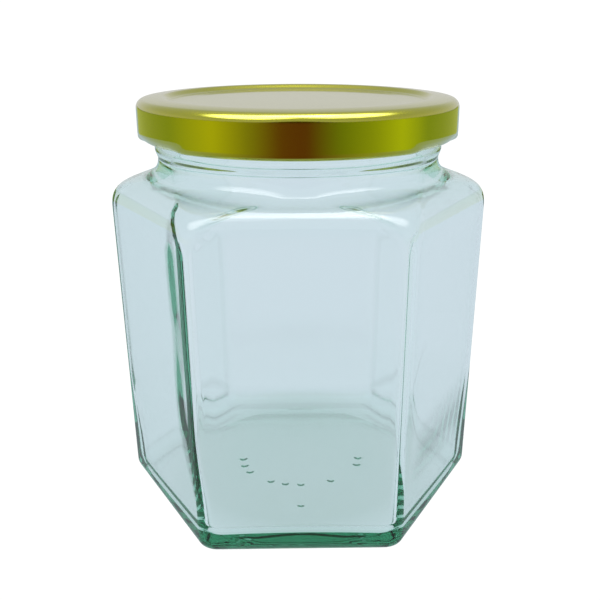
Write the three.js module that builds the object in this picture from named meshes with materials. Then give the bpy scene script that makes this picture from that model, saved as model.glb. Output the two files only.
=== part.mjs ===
// An empty hexagonal glass jar, closed by a pressed metal lid with lugs.
// Millimetres, +Z up. The origin lies under the middle of the foot, and one flat face looks to -Y.
import * as THREE from "three";

// Glass, outside
const flatToFlat = 64.9; // across two opposite faces, just under the shoulder
const footFlatToFlat = 62.9; // the faces lean in a little towards the foot
const edgeRadius = 3.2; // the six upright edges
const heelRadius = 3.5; // where the faces turn under to the foot
const footRingInner = 25; // the foot is flat outside this circle
const pushUp = 1; // and hollowed by this much at its middle
const shoulderStart = 59.8; // height where the faces begin to turn in
const neckRoot = 69.9; // height where the shoulder has become a round neck
const neckRadius = 27;
const beadHeight = 3.5; // the shallow bead just under the lid
const beadDepth = 0.4;

// Glass, inside
const wall = 2;
const floorHeight = 3.2;
const floorRise = 0.3; // the floor swells up a little at its middle
const innerEdgeRadius = 1;
const lowEnd = 26; // below this height the inner edges grow rounder
const lowEdgeRadius = 8; // up to this where the walls turn in to the floor
const floorEdgeRadius = 13;
const innerHeelRadius = 3.6;
const innerShoulderStart = 57.8;
const innerNeckRoot = 68.8;
const boreRadius = 24.8;

// How long the S of the shoulder stays upright at its foot and at its top, as shares of its height
const outerBends = [0.77, 0.41];
const innerBends = [0.87, 0.31];

// Glass finish, inside the lid
const finishRadius = 27.2;
const rimTop = 80.3;
const threadDepth = 1.7;
const threadHalfHeight = 1.1;
const threadLow = 76.3; // middle of a thread at the end where its lug locks
const threadRise = 1.6;
const threadTurn = THREE.MathUtils.degToRad(85);

// Lid
const lidRadius = 30.5;
const lidBottom = 73.2;
const lidTop = 81.1;
const sheet = 0.35;
const lidCornerRadius = 1.6;
const rimInner = 25.6; // the raised rim runs in to this radius
const rimFall = 0.3; // and falls by this much from there to its corner
const rimTilt = THREE.MathUtils.degToRad(9.7); // where it meets that corner
const panelRadius = 24; // inside the rim the lid slopes down to the flat panel
const panelDrop = 0.8;
const curlRadius = 0.8; // the skirt's lower edge is rolled inwards
const lugCount = 3;
const firstLug = Math.PI / 3; // from the front face, towards +X
const lugHalfTurn = THREE.MathUtils.degToRad(22);
const lugDepth = 1.2;
const lugBend = 1.6; // the skirt is bent in over this height

// Fineness of the faceting
const glassSides = 48;
const lidSides = 60;
const heelSteps = 5;
const lowSteps = 4;
const shoulderSteps = 12;
const beadSteps = 6;
const finishSteps = 9;
const rimSteps = 6;
const pushUpSteps = 3;

const sixth = Math.PI / 3;
const lerp = THREE.MathUtils.lerp;

// A level section of the glass: a hexagon of that apothem with rounded corners.
// A corner radius as large as the apothem makes it a circle.
function level(z, apothem, cornerRadius = apothem, threaded = false) {
  return { z, apothem, cornerRadius, threaded };
}

// Calls make with 1/count, 2/count and so on up to 1.
function steps(count, make) {
  return Array.from({ length: count }, (_, i) => make((i + 1) / count));
}

// Under the jar, from the middle of the push-up out to the flat foot.
function footLevels() {
  const dome = (share) => level(pushUp * (1 - share * share), footRingInner * share);
  return [level(pushUp, 0), ...steps(pushUpSteps, dome)];
}

// From the flat foot round the heel to the start of the upright faces.
function heelLevels() {
  const apothem = footFlatToFlat / 2;
  const turn = (share) => {
    const angle = (share * Math.PI) / 2;
    const inset = heelRadius * (1 - Math.sin(angle));
    return level(heelRadius * (1 - Math.cos(angle)), apothem - inset, edgeRadius);
  };
  return [level(0, apothem - heelRadius, edgeRadius), ...steps(heelSteps, turn)];
}

// An S-shaped shoulder: the rounded hexagon closes to a circle as it climbs.
function shoulderLevels(low, high, bends, apothem, cornerRadius, radius) {
  const climb = high - low;
  const rise = new THREE.CubicBezierCurve(
    new THREE.Vector2(0, low),
    new THREE.Vector2(0, low + bends[0] * climb),
    new THREE.Vector2(1, low + bends[1] * climb),
    new THREE.Vector2(1, high),
  );
  return [0, ...steps(shoulderSteps, (share) => share)].map((share) => {
    const { x: closed, y: z } = rise.getPoint(share);
    return level(z, lerp(apothem, radius, closed), lerp(cornerRadius, radius, closed));
  });
}

// The bead that stands out round the neck under the lid.
function beadLevels() {
  return steps(beadSteps, (share) => {
    const base = lerp(neckRadius, finishRadius, share);
    return level(neckRoot + beadHeight * share, base + beadDepth * Math.sin(Math.PI * share) ** 2);
  });
}

// The straight finish that carries the threads, and the rounded rim over it.
function finishLevels() {
  const low = neckRoot + beadHeight;
  const rimRadius = (finishRadius - boreRadius) / 2;
  const high = rimTop - rimRadius;
  const straight = (share) => level(lerp(low, high, share), finishRadius, finishRadius, true);
  const over = (share) => {
    const angle = share * Math.PI;
    return level(high + rimRadius * Math.sin(angle), boreRadius + rimRadius * (1 + Math.cos(angle)));
  };
  return [...steps(finishSteps, straight), ...steps(rimSteps, over)];
}

// The inside, from the neck down to the middle of the floor.
function insideLevels() {
  const shoulderApothem = flatToFlat / 2 - wall;
  const footApothem = footFlatToFlat / 2 - wall;
  const shoulder = shoulderLevels(
    innerShoulderStart,
    innerNeckRoot,
    innerBends,
    shoulderApothem,
    innerEdgeRadius,
    boreRadius,
  ).reverse();
  const heelTop = floorHeight + innerHeelRadius;
  const turn = (share) => {
    const angle = (share * Math.PI) / 2;
    const inset = innerHeelRadius * (1 - Math.cos(angle));
    const cornerRadius = lerp(lowEdgeRadius, floorEdgeRadius, share);
    return level(heelTop - innerHeelRadius * Math.sin(angle), footApothem - inset, cornerRadius);
  };
  const floorApothem = footApothem - innerHeelRadius;
  const lowShare = (lowEnd - heelTop) / (innerShoulderStart - heelTop);
  const lowLevels = steps(lowSteps, (share) => {
    const apothem = lerp(footApothem, shoulderApothem, lowShare * (1 - share));
    const even = THREE.MathUtils.smoothstep(share, 0, 1);
    return level(lerp(lowEnd, heelTop, share), apothem, lerp(innerEdgeRadius, lowEdgeRadius, even));
  });
  return [
    ...shoulder,
    level(lowEnd, lerp(footApothem, shoulderApothem, lowShare), innerEdgeRadius),
    ...lowLevels,
    ...steps(heelSteps, turn),
    level(floorHeight + 0.75 * floorRise, floorApothem / 2, floorEdgeRadius),
    level(floorHeight + floorRise, 0),
  ];
}

// How far a thread stands out at this turn round the neck and height. Each thread falls clockwise to its lug.
function threadAt(turn, z) {
  const pitch = (2 * Math.PI) / lugCount;
  const along = THREE.MathUtils.euclideanModulo(turn - firstLug + lugHalfTurn, pitch) / threadTurn;
  if (along > 1) return 0;
  const off = (z - threadLow - threadRise * along) / threadHalfHeight;
  const fade = Math.min(1, 8 * along, 8 * (1 - along));
  return threadDepth * fade * Math.max(0, 1 - off * off);
}

// Lathes the levels as circles, then moves each vertex out to its rounded hexagon.
// Vertices are placed by the direction that the glass faces, so every flat face is one strip.
function glassGeometry(levels) {
  const step = (2 * Math.PI) / glassSides;
  const profile = levels.map(({ z, apothem }) => new THREE.Vector2(apothem, z));
  const geometry = new THREE.LatheGeometry(profile, glassSides);
  const position = geometry.getAttribute("position");
  for (let side = 0; side <= glassSides; side++) {
    const facing = ((side % glassSides) + 0.5) * step;
    const corner = (Math.floor(facing / sixth) + 0.5) * sixth;
    levels.forEach(({ z, apothem, cornerRadius, threaded }, i) => {
      const centre = (apothem - Math.min(cornerRadius, apothem)) / Math.cos(sixth / 2);
      const out = Math.min(cornerRadius, apothem) + (threaded ? threadAt(facing, z) : 0);
      const x = centre * Math.sin(corner) + out * Math.sin(facing);
      const y = -centre * Math.cos(corner) - out * Math.cos(facing);
      position.setXYZ(side * levels.length + i, x, y, z);
    });
  }
  geometry.computeVertexNormals();
  return geometry;
}

function glassJar() {
  const levels = [
    ...footLevels(),
    ...heelLevels(),
    ...shoulderLevels(shoulderStart, neckRoot, outerBends, flatToFlat / 2, edgeRadius, neckRadius),
    ...beadLevels(),
    ...finishLevels(),
    ...insideLevels(),
  ];
  const clearGlass = new THREE.MeshStandardMaterial({
    color: 0xc8dee2,
    roughness: 0.05,
    metalness: 0,
    transparent: true,
    opacity: 0.35,
  });
  const mesh = new THREE.Mesh(glassGeometry(levels), clearGlass);
  mesh.name = "glass_jar";
  return mesh;
}

// The lid's section: over the top from the axis, down the skirt, round the curl and back along the inside.
function lidOutline() {
  const skirtInner = lidRadius - sheet;
  const cornerAcross = lidRadius - lidCornerRadius;
  const cornerUp = lidTop - rimFall - lidCornerRadius * Math.cos(rimTilt);
  const rimOuter = cornerAcross + lidCornerRadius * Math.sin(rimTilt);
  const rimMiddle = (rimInner + rimOuter) / 2;
  const panelTop = lidTop - panelDrop;
  const curlUp = lidBottom + curlRadius;
  const curlEnd = Math.acos((curlRadius - sheet) / curlRadius); // where the curl meets the skirt again
  const outline = new THREE.Path();
  outline.moveTo(0, panelTop);
  outline.lineTo(panelRadius, panelTop);
  outline.lineTo(rimInner, lidTop);
  outline.quadraticCurveTo(rimMiddle, lidTop, rimOuter, lidTop - rimFall);
  outline.absarc(cornerAcross, cornerUp, lidCornerRadius, Math.PI / 2 - rimTilt, 0, true);
  outline.absarc(lidRadius - curlRadius, curlUp, curlRadius, 0, curlEnd, true);
  outline.absarc(cornerAcross, cornerUp, skirtInner - cornerAcross, 0, Math.PI / 2 - rimTilt, false);
  outline.quadraticCurveTo(rimMiddle, lidTop - sheet, rimInner, lidTop - sheet);
  outline.lineTo(panelRadius, panelTop - sheet);
  outline.lineTo(0, panelTop - sheet);
  return outline.getPoints(5);
}

// Bends the foot of the skirt in at each lug, so that it hooks under a thread.
function pressLugs(geometry) {
  const position = geometry.getAttribute("position");
  const pitch = (2 * Math.PI) / lugCount;
  const bendTop = lidBottom + lugBend;
  for (let i = 0; i < position.count; i++) {
    const x = position.getX(i);
    const y = position.getY(i);
    const z = position.getZ(i);
    const turn = Math.atan2(x, -y);
    const fromLug = THREE.MathUtils.euclideanModulo(turn - firstLug + pitch / 2, pitch) - pitch / 2;
    const middle = 1 - THREE.MathUtils.smoothstep(Math.abs(fromLug), lugHalfTurn / 2, lugHalfTurn);
    const bend = Math.max(0, (bendTop - z) / lugBend);
    const radius = Math.hypot(x, y);
    const shrink = radius > 0 ? 1 - (lugDepth * middle * bend) / radius : 1;
    position.setXYZ(i, x * shrink, y * shrink, z);
  }
}

function lid() {
  const geometry = new THREE.LatheGeometry(lidOutline().reverse(), lidSides);
  geometry.rotateX(Math.PI / 2);
  pressLugs(geometry);
  geometry.computeVertexNormals();
  const goldLacquer = new THREE.MeshStandardMaterial({
    color: 0x9c9a1c,
    roughness: 0.3,
    metalness: 1,
  });
  const mesh = new THREE.Mesh(geometry, goldLacquer);
  mesh.name = "lid";
  return mesh;
}

const hexagonalJar = new THREE.Group();
hexagonalJar.add(glassJar(), lid());

export default hexagonalJar;
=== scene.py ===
import math

import bpy
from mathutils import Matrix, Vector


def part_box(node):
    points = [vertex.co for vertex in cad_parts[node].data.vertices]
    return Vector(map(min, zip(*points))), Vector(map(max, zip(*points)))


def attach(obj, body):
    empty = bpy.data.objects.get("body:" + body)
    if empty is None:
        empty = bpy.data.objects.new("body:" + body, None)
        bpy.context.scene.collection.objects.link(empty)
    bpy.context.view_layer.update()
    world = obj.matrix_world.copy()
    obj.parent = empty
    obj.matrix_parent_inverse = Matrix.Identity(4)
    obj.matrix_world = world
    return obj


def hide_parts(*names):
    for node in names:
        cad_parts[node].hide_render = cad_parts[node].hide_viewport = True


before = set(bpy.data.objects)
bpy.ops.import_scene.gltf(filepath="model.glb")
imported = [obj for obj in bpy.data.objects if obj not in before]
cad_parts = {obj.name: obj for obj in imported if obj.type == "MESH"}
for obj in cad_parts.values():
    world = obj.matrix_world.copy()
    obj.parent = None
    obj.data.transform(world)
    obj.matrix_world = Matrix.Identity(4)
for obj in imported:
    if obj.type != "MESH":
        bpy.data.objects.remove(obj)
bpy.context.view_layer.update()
mm = 0.001
sixth = math.pi / 3
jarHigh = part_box("glass_jar")[1]
lidLow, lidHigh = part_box("lid")
print("frame loaded, jar", round(jarHigh.z / mm, 1), "mm to the rim")


class Wire:
    # a shader socket: sums on it add Math nodes, or Vector Math nodes for colours and vectors
    def __init__(self, tree, socket=None):
        self.tree = tree
        self.socket = socket

    def node(self, kind, settings={}, sockets={}, output=0):
        made = self.tree.nodes.new(kind)
        for name, value in settings.items():
            if name == "stops":  # of a colour ramp, as (position, colour)
                ramp = made.color_ramp
                while len(ramp.elements) < len(value):
                    ramp.elements.new(1)
                for element, (position, colour) in zip(ramp.elements, value):
                    element.position = position
                    element.color = (*colour, 1)
            else:
                setattr(made, name, value)
        for name, value in sockets.items():
            if isinstance(value, Wire):
                self.tree.links.new(value.socket, made.inputs[name])
            else:
                made.inputs[name].default_value = value
        return Wire(self.tree, made.outputs[output] if made.outputs else None)

    def ease(self, value, low, high):
        return self.node("ShaderNodeMapRange", {"interpolation_type": "SMOOTHSTEP"}, {
            "Value": value, "From Min": low, "From Max": high})

    def isNumber(self, value):
        if isinstance(value, Wire):
            return value.socket.type == "VALUE"
        return isinstance(value, (int, float))

    def sum(self, operation, first, second):
        if self.isNumber(first) and self.isNumber(second):
            return self.node("ShaderNodeMath", {"operation": operation}, {0: first, 1: second})
        spread = [(w, w, w) if isinstance(w, (int, float)) else w for w in (first, second)]
        return self.node("ShaderNodeVectorMath", {"operation": operation}, {0: spread[0], 1: spread[1]})

    def __add__(self, other):
        return self.sum("ADD", self, other)

    def __radd__(self, other):
        return self.sum("ADD", other, self)

    def __sub__(self, other):
        return self.sum("SUBTRACT", self, other)

    def __rsub__(self, other):
        return self.sum("SUBTRACT", other, self)

    def __mul__(self, other):
        return self.sum("MULTIPLY", self, other)

    def __rmul__(self, other):
        return self.sum("MULTIPLY", other, self)

    def __truediv__(self, other):
        return self.sum("DIVIDE", self, other)

    def __rtruediv__(self, other):
        return self.sum("DIVIDE", other, self)


def newMaterial(name):
    material = bpy.data.materials.new(name)
    material.use_nodes = True
    tree = material.node_tree
    tree.nodes.clear()
    return material, Wire(tree)


def meshFromRings(name, rings, closed=True):
    # rings are lists of points of one length, or a single point at the axis
    points = []
    faces = []
    starts = []
    for ring in rings:
        starts.append(len(points))
        points.extend(ring)
    for lower, upper, here, there in zip(rings, rings[1:], starts, starts[1:]):
        count = max(len(lower), len(upper))
        for i in range(count if closed else count - 1):
            j = (i + 1) % count
            if len(lower) == 1:
                faces.append((here, there + j, there + i))
            elif len(upper) == 1:
                faces.append((here + i, here + j, there))
            else:
                faces.append((here + i, here + j, there + j, there + i))
    mesh = bpy.data.meshes.new(name)
    mesh.from_pydata(points, [], faces)
    mesh.validate()
    mesh.shade_smooth()
    piece = bpy.data.objects.new(name, mesh)
    bpy.context.scene.collection.objects.link(piece)
    return piece


def lerp(a, b, share):
    return a + (b - a) * share


def smooth(low, high, value):
    share = min(1, max(0, (value - low) / (high - low)))
    return share * share * (3 - 2 * share)


def shares(count):
    return [(i + 1) / count for i in range(count)]


def inMm(*sizes):
    return [size * mm for size in sizes]


# the glass: level sections are hexagons with rounded corners
# a round section has a corner radius as large as the apothem
# lists of six start at the front face, or at the edge right of it, and go round by +X
jar = {
    "halfFlats": jarHigh.y,
    "footHalfFlats": 31.45 * mm,
    "edgeRadius": 3.2 * mm,
    "heelRadius": 3.5 * mm,
    "footRing": 25 * mm,
    "pushUp": 1 * mm,
    "shoulderStart": 59.8 * mm,
    "neckRoot": 69.9 * mm,
    "bends": (0.77, 0.41),  # how long the S of the shoulder stays upright at its foot and at its top
    "neckRadius": 27 * mm,
    "beadHeight": 3.5 * mm,
    "beadDepth": 0.4 * mm,
    "wall": 2 * mm,
    "floor": 3.2 * mm,
    "floorRise": 0.3 * mm,
    "innerEdges": inMm(1, 1, 1.4, 1.4, 1, 1),  # radii of the edges inside
    "lowEdges": inMm(1.5, 8, 1.4, 1.4, 8, 1.5),  # where the walls turn in to the floor
    "floorEdges": inMm(3, 13, 5, 5, 13, 3),
    "lowEnd": 26 * mm,  # below this the inner edges change to those radii and the wall grows more even
    "innerHeelRadius": 3.6 * mm,
    "sag": 1.5 * mm,  # the floor lies lower inside towards the two sides
    "sagRing": inMm(12, 26),  # more and more over these radii
    "sagHeights": inMm(7, 24),  # and less and less over these heights
    "innerShoulderStart": 57.8 * mm,
    "innerNeckRoot": 68.8 * mm,
    "innerBends": (0.87, 0.31),
    "innerRounding": [0.7, 1, 1, 1, 1, 0.7],  # the inside turns round sooner than the outside
    "bore": 24.8 * mm,
    "finishRadius": 27.2 * mm,
    "rimTop": jarHigh.z,
    "threadDepth": 1.7 * mm,
    "threadHalfHeight": 1.1 * mm,
    "threadLow": 76.3 * mm,
    "threadRise": 1.6 * mm,
    "threadTurn": math.radians(85),
    "threadFade": 0.125,  # share of a thread's length over which each end rises
    "columnsPerFace": 48,
    "heelRows": 16,
    "shoulderRows": 36,
    "beadRows": 24,
    "finishRows": 24,
    "rimRows": 16,
    "wallRows": 36,
    "floorRows": 8,
    "thinWall": inMm(-0.3, 0.6, 0.4, 0.2, 0, 0.25),  # the blown walls are uneven, thinner by this much
    "thinBefore": inMm(0.15, -0.1, 0, 0, 0.6, 0.45),  # thinner still at the edges, on the face before each
    "thinAfter": inMm(-0.6, 0.6, 0, 0, 0.3, 0.4),  # and on the face after it
    "thinPower": 10,  # how close to the edge that stays
    "thinEnd": 0.5,  # share of the shoulder's way in over which the walls become even
    "waveFace": 5,  # this face also has an upright wave inside, near its edge
    "waveSize": inMm(0.15, 0.05),  # its depth, and how much that swings
    "wavePlace": (0.8, 0.12),  # its middle and width, as shares of half the face
    "waveHeights": inMm(30, 24),  # a height where it is deepest, and the way from there to the next
    # moulded dots under the foot, by degrees from the front
    "dotTurns": [-90, -75, -60, -30, -15, 0, 30, 75, 90],
    "dotRing": inMm(12.6, 10.8),  # half width and half depth of their ring
    "dotBack": 2 * mm,
    "dotSize": 0.8 * mm,
    "dotHeight": 0.3 * mm,
    "markPlace": 16.5 * mm,  # of one more dot, nearer the front
    # rings under the foot from one radius to another by a step, fine where the dots lie
    "footSteps": [inMm(2, 6, 2), inMm(7.5, 13.5, 0.25), inMm(14.5, 15.5, 0.5), inMm(15.75, 17.5, 0.25),
                  inMm(18.5, 25, 0.5)],
}
lugs = {
    "count": 3,
    "first": math.radians(60),
    "halfTurn": math.radians(22),
    "depth": 1.2 * mm,
    "bend": 1.6 * mm,
}


def hexPoint(apothem, corner, share):
    # share runs from the middle of one face to the middle of the next, half by length and half by turn
    corner = min(corner, apothem)
    halfFlat = (apothem - corner) * math.tan(sixth / 2)
    length = 2 * halfFlat + corner * sixth
    flatShare = 0.5 * halfFlat / length if length else 0
    if share < flatShare:
        along = halfFlat * share / flatShare
        return along, apothem, 0
    if share > 1 - flatShare:
        along = halfFlat * (1 - share) / flatShare
        c, s = math.cos(sixth), math.sin(sixth)
        return apothem * s - along * c, apothem * c + along * s, sixth
    turn = sixth * (share - flatShare) / (1 - 2 * flatShare)
    centre = (apothem - corner) / math.cos(sixth / 2)
    x = centre * math.sin(sixth / 2) + corner * math.sin(turn)
    y = centre * math.cos(sixth / 2) + corner * math.cos(turn)
    return x, y, turn


def threadAt(turn, z):
    pitch = 2 * math.pi / lugs["count"]
    along = (turn - lugs["first"] + lugs["halfTurn"]) % pitch / jar["threadTurn"]
    if along > 1:
        return 0
    off = (z - jar["threadLow"] - jar["threadRise"] * along) / jar["threadHalfHeight"]
    fade = min(1, along / jar["threadFade"], (1 - along) / jar["threadFade"])
    return jar["threadDepth"] * fade * max(0, 1 - off * off)


def waveAt(reach, z):
    place, width = jar["wavePlace"]
    deepest, pitch = jar["waveHeights"]
    size, swing = jar["waveSize"]
    depth = size + swing * math.cos(2 * math.pi * (z - deepest) / pitch)
    return depth * smooth(deepest / 2, deepest, z) * math.exp(-((reach - place) / width) ** 2)


def thinShift(face, x, y, turn, z):
    # how far the inside of the wall lies out from an even wall, towards the next face and out of this one
    c, s = math.cos(sixth), math.sin(sixth)
    wall, nextWall = jar["thinWall"][face], jar["thinWall"][(face + 1) % 6]
    edge, nextEdge = jar["thinBefore"][face], jar["thinAfter"][face]
    out = wall + edge
    across = (nextWall + nextEdge - out * c) / s
    # reach is 0 in the middle of this face, 1 at the edge and 2 in the middle of the next face
    reach = math.atan2(x, y) / (sixth / 2)
    if turn == 0:
        wave = waveAt(reach, z) if face == jar["waveFace"] else 0
        return across * reach, wall + edge * reach ** jar["thinPower"] + wave
    if turn == sixth:
        reach = 2 - reach
        along = (out * s - across * c) * reach
        thick = nextWall + nextEdge * reach ** jar["thinPower"]
        return thick * s - along * c, thick * c + along * s
    return across, out


def glassRing(z, apothem, corners=None, threaded=False, thinned=0):
    if apothem == 0:
        return [(0, 0, z)]
    columns = jar["columnsPerFace"]
    corners = corners or [apothem] * 6
    ring = []
    for face in range(6):
        for i in range(columns):
            x, y, turn = hexPoint(apothem, corners[face], i / columns)
            if threaded:
                grow = 1 + threadAt(face * sixth + turn, z) / apothem
                x, y = x * grow, y * grow
            if thinned:
                across, out = thinShift(face, x, y, turn, z)
                x, y = x + across * thinned, y + out * thinned
            c, s = math.cos(face * sixth), math.sin(face * sixth)
            ring.append((x * c + y * s, -(y * c - x * s), z))
    return ring


def bezier(a, b, c, d, t):
    return (1 - t) ** 3 * a + 3 * (1 - t) ** 2 * t * b + 3 * (1 - t) * t * t * c + t ** 3 * d


def mixed(first, second, share, powers=(1,) * 6):
    return [lerp(a, b, share ** p) for a, b, p in zip(first, second, powers)]


def shoulderRings(low, high, bends, apothem, corners, radius, rounding=(1,) * 6, thinned=0):
    climb = high - low
    rings = []
    for share in [0] + shares(jar["shoulderRows"]):
        closed = bezier(0, 0, 1, 1, share)
        z = bezier(low, low + bends[0] * climb, low + bends[1] * climb, high, share)
        rings.append(glassRing(z, lerp(apothem, radius, closed),
                               mixed(corners, [radius] * 6, closed, rounding),
                               thinned=thinned * (1 - smooth(0, jar["thinEnd"], closed))))
    return rings


def dotAt(x, y):
    # how far the moulded dots stand out under the foot
    tall = 0
    wide, deep = jar["dotRing"]
    turns = [math.radians(t) for t in jar["dotTurns"]]
    places = [(wide * math.sin(t), jar["dotBack"] - deep * math.cos(t)) for t in turns]
    places.append((0, -jar["markPlace"]))
    for atX, atY in places:
        off = math.hypot(x - atX, y - atY) / jar["dotSize"]
        tall = max(tall, 1 - off * off)
    return jar["dotHeight"] * tall


def footRings():
    rings = [glassRing(jar["pushUp"], 0)]
    for first, last, step in jar["footSteps"]:
        for i in range(round((last - first) / step) + 1):
            radius = first + step * i
            z = jar["pushUp"] * (1 - (radius / jar["footRing"]) ** 2)
            rings.append([(x, y, z - dotAt(x, y)) for x, y, z in glassRing(z, radius)])
    return rings


def heelRings():
    apothem, heel, edge = jar["footHalfFlats"], jar["heelRadius"], jar["edgeRadius"]
    rings = []
    for share in [0] + shares(jar["heelRows"]):
        turn = share * math.pi / 2
        inset = heel * (1 - math.sin(turn))
        rings.append(glassRing(heel * (1 - math.cos(turn)), apothem - inset, [edge] * 6))
    return rings


def neckRings():
    rings = []
    for share in shares(jar["beadRows"]):
        base = lerp(jar["neckRadius"], jar["finishRadius"], share)
        z = jar["neckRoot"] + jar["beadHeight"] * share
        rings.append(glassRing(z, base + jar["beadDepth"] * math.sin(math.pi * share) ** 2))
    low = jar["neckRoot"] + jar["beadHeight"]
    rimRadius = (jar["finishRadius"] - jar["bore"]) / 2
    high = jar["rimTop"] - rimRadius
    for share in shares(jar["finishRows"]):
        rings.append(glassRing(lerp(low, high, share), jar["finishRadius"], threaded=True))
    for share in shares(jar["rimRows"]):
        turn = share * math.pi
        out = jar["bore"] + rimRadius * (1 + math.cos(turn))
        rings.append(glassRing(high + rimRadius * math.sin(turn), out))
    return rings


def sagAt(x, y, z):
    # how much lower the inside lies here than a level floor would
    out = math.hypot(x, y)
    side = x * x / (out * out) if out else 0
    return jar["sag"] * side * smooth(*jar["sagRing"], out) * (1 - smooth(*jar["sagHeights"], z))


def insideRings():
    shoulderApothem = jar["halfFlats"] - jar["wall"]
    footApothem = jar["footHalfFlats"] - jar["wall"]
    edges, lowEdges, floorEdges = jar["innerEdges"], jar["lowEdges"], jar["floorEdges"]
    heel, high = jar["innerHeelRadius"], jar["innerShoulderStart"]
    rings = shoulderRings(high, jar["innerNeckRoot"], jar["innerBends"], shoulderApothem, edges,
                          jar["bore"], jar["innerRounding"], thinned=1)[::-1]
    top = jar["floor"] + heel
    for share in shares(jar["wallRows"]):
        z = lerp(high, top, share)
        even = 1 - smooth(top, jar["lowEnd"], z)
        rings.append(glassRing(z, lerp(shoulderApothem, footApothem, share),
                               mixed(edges, lowEdges, even), thinned=1 - even))
    for share in shares(jar["heelRows"]):
        turn = share * math.pi / 2
        inset = heel * (1 - math.cos(turn))
        rings.append(glassRing(top - heel * math.sin(turn), footApothem - inset,
                               mixed(lowEdges, floorEdges, share)))
    floorApothem = footApothem - heel
    for share in shares(jar["floorRows"]):
        rings.append(glassRing(jar["floor"] + jar["floorRise"] * (1 - (1 - share) ** 2),
                               floorApothem * (1 - share), floorEdges))
    return [[(x, y, z - sagAt(x, y, z)) for x, y, z in ring] for ring in rings]


def makeJar():
    rings = footRings() + heelRings()
    rings += shoulderRings(jar["shoulderStart"], jar["neckRoot"], jar["bends"], jar["halfFlats"],
                           [jar["edgeRadius"]] * 6, jar["neckRadius"])
    rings += neckRings() + insideRings()
    piece = meshFromRings("jar_glass", rings)
    piece.data.materials.append(glassMaterial())
    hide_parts("glass_jar")
    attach(piece, "root")
    print("glass jar made,", len(piece.data.polygons), "faces")


glassLook = {
    "ior": 1.5,
    "tint": (0.47, 0.79, 0.67),
    "density": 100.0,  # per metre
    "stippleSize": 1 * mm,  # on the ring that the jar stands on
    "stippleDepth": 0.006 * mm,
    "stippleRing": inMm(24, 26),  # it sets in over these radii
    "stippleTop": inMm(0.1, 0.3),  # and runs out over these heights
}


def axesOf(place):
    return {axis: place.node("ShaderNodeSeparateXYZ", {}, {"Vector": place}, output=axis) for axis in "XYZ"}


def outOf(axes):
    # how far out from the jar's axis
    x, y = axes["X"], axes["Y"]
    return x.node("ShaderNodeMath", {"operation": "SQRT"}, {0: x * x + y * y})


def glassMaterial():
    material, start = newMaterial("clear_glass")
    place = start.node("ShaderNodeTexCoord", output="Object")
    axes = axesOf(place)
    under = 1 - start.ease(axes["Z"], *glassLook["stippleTop"])
    ring = start.ease(outOf(axes), *glassLook["stippleRing"])
    grain = start.node("ShaderNodeTexVoronoi", {}, {
        "Vector": place, "Scale": 1 / glassLook["stippleSize"]})
    bump = start.node("ShaderNodeBump", {}, {
        "Height": grain * under * ring, "Distance": glassLook["stippleDepth"], "Strength": 1.0})
    surface = start.node("ShaderNodeBsdfPrincipled", {}, {
        "Base Color": (1, 1, 1, 1), "Roughness": 0.0, "IOR": glassLook["ior"],
        "Transmission Weight": 1.0, "Normal": bump})
    volume = start.node("ShaderNodeVolumeAbsorption", {}, {
        "Color": (*glassLook["tint"], 1), "Density": glassLook["density"]})
    start.node("ShaderNodeOutputMaterial", {}, {"Surface": surface, "Volume": volume})
    return material


# the lid: a pressed sheet, lathed and then bent in at its lugs
lid = {
    "radius": lidHigh.x,
    "bottom": lidLow.z,
    "top": lidHigh.z,
    "sheet": 0.35 * mm,
    "cornerRadius": 1.6 * mm,
    "crown": 0.3 * mm,  # the rim falls by this much before its corner
    "tilt": math.radians(9.7),  # of the rim where it meets the corner
    "rimInner": 25.6 * mm,
    "panelRadius": 24 * mm,
    "panelDrop": 0.8 * mm,
    "curlRadius": 0.8 * mm,
    "columns": 240,
    "panelRows": 6,
    "slopeRows": 10,
    "rimRows": 12,
    "cornerRows": 16,
    "skirtRows": 12,
    "curlRows": 24,
    "insideRows": 8,
}


def arc(across, up, radius, start, end, count):
    turns = [lerp(start, end, i / count) for i in range(count + 1)]
    return [(across + radius * math.cos(t), up + radius * math.sin(t)) for t in turns]


def lidOutline():
    # over the top from the axis, down the skirt, round the curl and back along the inside
    corner, sheet, curl, tilt = lid["cornerRadius"], lid["sheet"], lid["curlRadius"], lid["tilt"]
    top, skirt, bottom = lid["top"], lid["radius"], lid["bottom"]
    across, up = skirt - corner, top - lid["crown"] - corner * math.cos(tilt)
    rimInner, rimOuter = lid["rimInner"], across + corner * math.sin(tilt)
    panelEdge, drop = lid["panelRadius"], lid["panelDrop"]
    panel = top - drop
    curlEnd = math.acos((curl - sheet) / curl) - 2 * math.pi
    cornerTurn = math.pi / 2 - tilt
    slope, rim = shares(lid["slopeRows"]), shares(lid["rimRows"])[:-1]
    outline = [(0, panel)] + [(panelEdge * s, panel) for s in shares(lid["panelRows"])]
    outline += [(lerp(panelEdge, rimInner, s), panel + drop * smooth(0, 1, s)) for s in slope]
    outline += [(lerp(rimInner, rimOuter, s), top - lid["crown"] * s * s) for s in rim]
    outline += arc(across, up, corner, cornerTurn, 0, lid["cornerRows"])
    outline += [(skirt, lerp(up, bottom + curl, s)) for s in shares(lid["skirtRows"])[:-1]]
    outline += arc(skirt - curl, bottom + curl, curl, 0, curlEnd, lid["curlRows"])
    outline += [(skirt - sheet, lerp(bottom + 2 * curl, up, s)) for s in shares(lid["insideRows"])[:-1]]
    outline += arc(across, up, corner - sheet, 0, cornerTurn, lid["insideRows"])
    under = top - sheet
    outline += [(lerp(rimOuter, rimInner, s), under - lid["crown"] * (1 - s) ** 2) for s in rim]
    outline += [(lerp(rimInner, panelEdge, s), under - drop * smooth(0, 1, s)) for s in [0] + slope]
    return outline + [(0, panel - sheet)]


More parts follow.
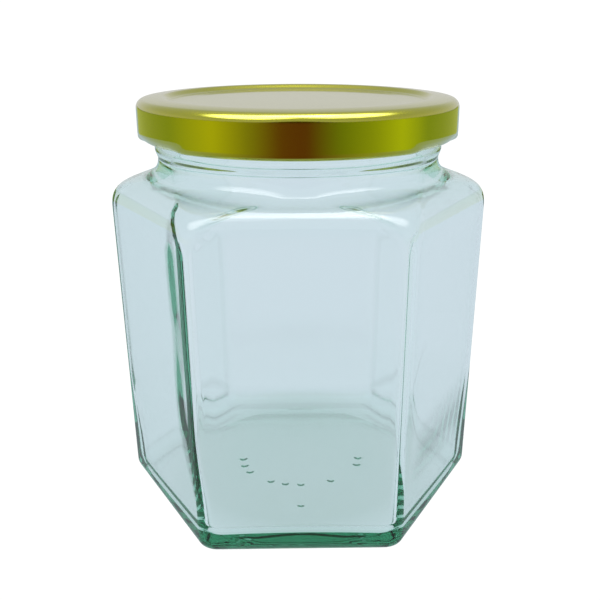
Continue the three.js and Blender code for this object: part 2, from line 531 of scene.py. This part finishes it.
def lugAt(turn, z):
    pitch = 2 * math.pi / lugs["count"]
    fromLug = abs((turn - lugs["first"] + pitch / 2) % pitch - pitch / 2)
    middle = 1 - smooth(lugs["halfTurn"] / 2, lugs["halfTurn"], fromLug)
    return lugs["depth"] * middle * max(0, (lid["bottom"] + lugs["bend"] - z) / lugs["bend"])


def makeLid():
    rings = []
    for radius, z in reversed(lidOutline()):
        if radius == 0:
            rings.append([(0, 0, z)])
            continue
        ring = []
        for i in range(lid["columns"]):
            turn = 2 * math.pi * i / lid["columns"]
            out = radius - lugAt(turn, z)
            ring.append((out * math.sin(turn), -out * math.cos(turn), z))
        rings.append(ring)
    piece = meshFromRings("gold_lid", rings)
    piece.data.materials.append(goldMaterial())
    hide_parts("lid")
    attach(piece, "root")
    print("lid made,", len(piece.data.polygons), "faces")


goldLook = {
    "colour": (0.50, 0.49, 0.003),
    "roughness": 0.18,
    "cloudScale": 120.0,  # per metre
    "cloudDepth": 0.06,  # the roughness varies by this much
    "coatRoughness": 0.06,
    "coatIor": 1.8,
}


def goldMaterial():
    material, start = newMaterial("gold_lacquer")
    place = start.node("ShaderNodeTexCoord", output="Object")
    cloud = start.node("ShaderNodeTexNoise", {}, {
        "Vector": place, "Scale": goldLook["cloudScale"], "Detail": 4.0})
    surface = start.node("ShaderNodeBsdfPrincipled", {}, {
        "Base Color": (*goldLook["colour"], 1), "Metallic": 1.0,
        "Roughness": goldLook["roughness"] + goldLook["cloudDepth"] * (cloud - 0.5),
        "Coat Weight": 1.0, "Coat Roughness": goldLook["coatRoughness"], "Coat IOR": goldLook["coatIor"]})
    start.node("ShaderNodeOutputMaterial", {}, {"Surface": surface})
    return material


# the stage: pale floor, soft light from above, camera where the photo was taken from
view = {
    "focal": 801.7,  # pixels
    "centre": (316.68, 288.31),  # pixel that the lens points at
    "imageSide": 600,
    "pitch": math.radians(18.511),
    "turn": math.radians(1.14),
    "place": (3.529 * mm, -156.94 * mm, 94.55 * mm),  # before the turn
    "sensor": 36.0,
}


def makeCamera():
    side = view["imageSide"]
    data = bpy.data.cameras.new("camera")
    data.sensor_width = view["sensor"]
    data.lens = view["focal"] / side * view["sensor"]
    data.shift_x = (side / 2 - view["centre"][0]) / side
    data.shift_y = (view["centre"][1] - side / 2) / side
    data.clip_start = 0.01
    camera = bpy.data.objects.new("camera", data)
    bpy.context.scene.collection.objects.link(camera)
    x, y, z = view["place"]
    c, s = math.cos(-view["turn"]), math.sin(-view["turn"])
    camera.location = (c * x - s * y, s * x + c * y, z)
    camera.rotation_euler = (math.pi / 2 - view["pitch"], 0, -view["turn"])
    bpy.context.scene.camera = camera


stage = {
    "floorSide": 6.0,
    "floorDrop": 0.0001,  # the foot stands clear of the floor by this much
    # the floor glows as a light table, with a painted shadow in its darker tones under the jar
    "floorGlowAndShadow": [(0.0, (0.57, 0.64, 0.69)), (0.18, (0.57, 0.64, 0.69)),
                  (0.31, (0.78, 0.82, 0.94)), (1.0, (0.78, 0.82, 0.94))],
    "floorShadowReach": 0.12,  # painted shadow: the floor is darker under the jar, the tones above run out to this radius
    "domeColumns": 48,
    "domeRows": 24,
    # name, radius, tone and the rays that see it
    "domes": [("tent", 1.5, (0.78, 0.82, 0.94), "transmission"),
              ("backdrop", 2.0, (1.05, 1.05, 1.05), "camera")],
    "screenColumns": 96,
    "wallRadius": 0.4,
    "wallHeight": 0.085,
    "wallPeak": 0.12,  # it stands higher by this much in front of the camera
    "wallPeakTurn": 0.3,  # and falls away over this turn
    "wallTurn": 150,  # degrees each way from the front
    "wallShade": (0.055, 0.1),  # it grows darker over these heights
    "wallShadeDepth": 0.65,
    # tones by degrees from the front
    "wall": [(-150, (0.44, 0.49, 0.12)), (-95, (0.33, 0.41, 0.05)), (-58, (0.69, 0.69, 0.03)),
             (-33, (0.33, 0.32, 0.03)), (-12, (0.18, 0.065, 0.015)), (6, (0.16, 0.045, 0.015)),
             (28, (0.22, 0.29, 0.02)), (50, (0.39, 0.47, 0.03)), (72, (0.69, 0.79, 0.03)),
             (96, (0.32, 0.42, 0.05)), (150, (0.44, 0.49, 0.12))],
    "table": [(-150, (0.45, 0.55, 0.57)), (-80, (0.45, 0.55, 0.57)), (-45, (0.40, 0.40, 0.10)),
              (-12, (0.17, 0.06, 0.01)), (6, (0.15, 0.04, 0.01)), (45, (0.40, 0.42, 0.10)),
              (80, (0.45, 0.55, 0.57)), (150, (0.45, 0.55, 0.57))],
    "tableRadii": (0.03, 1),
    "nearTable": (0.45, 0.55, 0.57),  # the table's tone close to the jar
    "nearRing": (0.05, 0.14),  # which goes over to the others between these radii
}


def makeFloor():
    half = stage["floorSide"] / 2
    corners = [(x * half, y * half, -stage["floorDrop"]) for x, y in ((-1, -1), (1, -1), (1, 1), (-1, 1))]
    mesh = bpy.data.meshes.new("floor")
    mesh.from_pydata(corners, [], [(0, 1, 2, 3)])
    floor = bpy.data.objects.new("floor", mesh)
    bpy.context.scene.collection.objects.link(floor)
    material, start = newMaterial("pale_floor")
    place = start.node("ShaderNodeTexCoord", output="Object")
    out = start.node("ShaderNodeVectorMath", {"operation": "LENGTH"}, {0: place}, output="Value")
    # painted shadow: the glow is darker under the jar
    tone = start.node("ShaderNodeValToRGB", {"stops": stage["floorGlowAndShadow"]}, {
        "Fac": out / stage["floorShadowReach"]})
    glow = start.node("ShaderNodeEmission", {}, {"Color": tone})
    start.node("ShaderNodeOutputMaterial", {}, {"Surface": glow})
    mesh.materials.append(material)
    floor.visible_camera = floor.visible_glossy = False


def seenOnlyBy(piece, rays):
    for kind in ("camera", "diffuse", "glossy", "transmission", "shadow"):
        setattr(piece, "visible_" + kind, kind == rays)


def makeScreen(name, rings, tones):
    # coloured by the turn round the jar, there only for the lid and the glass to reflect
    screen = meshFromRings(name, rings, closed=False)
    seenOnlyBy(screen, "glossy")
    material, start = newMaterial(name + "_tones")
    axes = axesOf(start.node("ShaderNodeTexCoord", output="Object"))
    turn = start.node("ShaderNodeMath", {"operation": "ARCTAN2"}, {0: axes["X"], 1: 0 - axes["Y"]})
    stops = [(0.5 + at / 360, colour) for at, colour in tones]
    tone = start.node("ShaderNodeValToRGB", {"stops": stops}, {"Fac": turn / (2 * math.pi) + 0.5})
    far = start.ease(outOf(axes), *stage["nearRing"])
    shade = 1 - stage["wallShadeDepth"] * start.ease(axes["Z"], *stage["wallShade"])
    near = stage["nearTable"]
    glow = start.node("ShaderNodeEmission", {}, {"Color": (near + (tone - near) * far) * shade})
    start.node("ShaderNodeOutputMaterial", {}, {"Surface": glow})
    screen.data.materials.append(material)


def makeScreens():
    # a wall round the front of the table, and the table itself
    radius, span = stage["wallRadius"], math.radians(stage["wallTurn"])
    steps = [0] + shares(stage["screenColumns"])
    turns = [lerp(-span, span, s) for s in steps]
    peaks = [stage["wallPeak"] * math.exp(-(t / stage["wallPeakTurn"]) ** 2) for t in turns]
    tops = [stage["wallHeight"] + peak for peak in peaks]
    wall = [[(radius * math.sin(t), -radius * math.cos(t), z * share) for t, z in zip(turns, tops)]
            for share in (0, 1)]
    makeScreen("wall", wall, stage["wall"])
    turns = [lerp(-math.pi, math.pi, s) for s in steps]
    table = [[(r * math.sin(t), -r * math.cos(t), -stage["floorDrop"]) for t in turns]
             for r in stage["tableRadii"]]
    makeScreen("table", table, stage["table"])


def makeDomes():
    # the pale tent that shows through the glass, and the white backdrop that the camera sees
    turns = [2 * math.pi * s for s in shares(stage["domeColumns"])]
    tilts = [math.pi * (s - 0.5) for s in shares(stage["domeRows"])[:-1]]
    for name, radius, tone, rays in stage["domes"]:
        rings = [[(0, 0, -radius)]]
        for tilt in tilts:
            out, up = radius * math.cos(tilt), radius * math.sin(tilt)
            rings.append([(out * math.sin(t), -out * math.cos(t), up) for t in turns])
        rings.append([(0, 0, radius)])
        dome = meshFromRings(name, rings)
        seenOnlyBy(dome, rays)
        material, start = newMaterial(name + "_tone")
        glow = start.node("ShaderNodeEmission", {}, {"Color": (*tone, 1)})
        start.node("ShaderNodeOutputMaterial", {}, {"Surface": glow})
        dome.data.materials.append(material)


light = {
    # from level to overhead
    "sky": [(0.0, (0.63, 0.63, 0.60)), (0.2, (0.62, 0.62, 0.57)), (0.45, (0.52, 0.54, 0.47)),
            (0.7, (0.52, 0.54, 0.47)), (0.88, (0.68, 0.68, 0.60)), (1.0, (0.8, 0.8, 0.7))],
    # soft lights: degrees from the front, degrees up, degrees out to the end of the core and of its edge
    "soft": [(-50, 56, 10, 29), (60, 66, 10, 29), (0, 82, 6, 20)],
    "brightness": 4.5,
    "bounces": 48,  # light crosses the glass many times
}


def makeLight():
    world = bpy.data.worlds.new("studio")
    bpy.context.scene.world = world
    world.use_nodes = True
    world.node_tree.nodes.clear()
    start = Wire(world.node_tree)
    place = start.node("ShaderNodeTexCoord", output="Generated")
    height = start.node("ShaderNodeSeparateXYZ", {}, {"Vector": place}, output="Z")
    tone = start.node("ShaderNodeValToRGB", {"stops": light["sky"]}, {"Fac": height})
    for angles in light["soft"]:
        turn, up, core, edge = [math.radians(angle) for angle in angles]
        aim = (math.cos(up) * math.sin(turn), -math.cos(up) * math.cos(turn), math.sin(up))
        near = start.node("ShaderNodeVectorMath", {"operation": "DOT_PRODUCT"}, {0: place, 1: aim},
                          output="Value")
        tone = tone + light["brightness"] * start.ease(near, math.cos(edge), math.cos(core))
    glow = start.node("ShaderNodeBackground", {}, {"Color": tone, "Strength": 1.0})
    start.node("ShaderNodeOutputWorld", {}, {"Surface": glow})
    scene = bpy.context.scene
    scene.view_settings.view_transform = "Standard"
    for kind in ("max", "transmission", "glossy"):
        setattr(scene.cycles, kind + "_bounces", light["bounces"])


makeCamera()
makeFloor()
makeScreens()
makeDomes()
makeLight()
print("stage set")
makeJar()
makeLid()
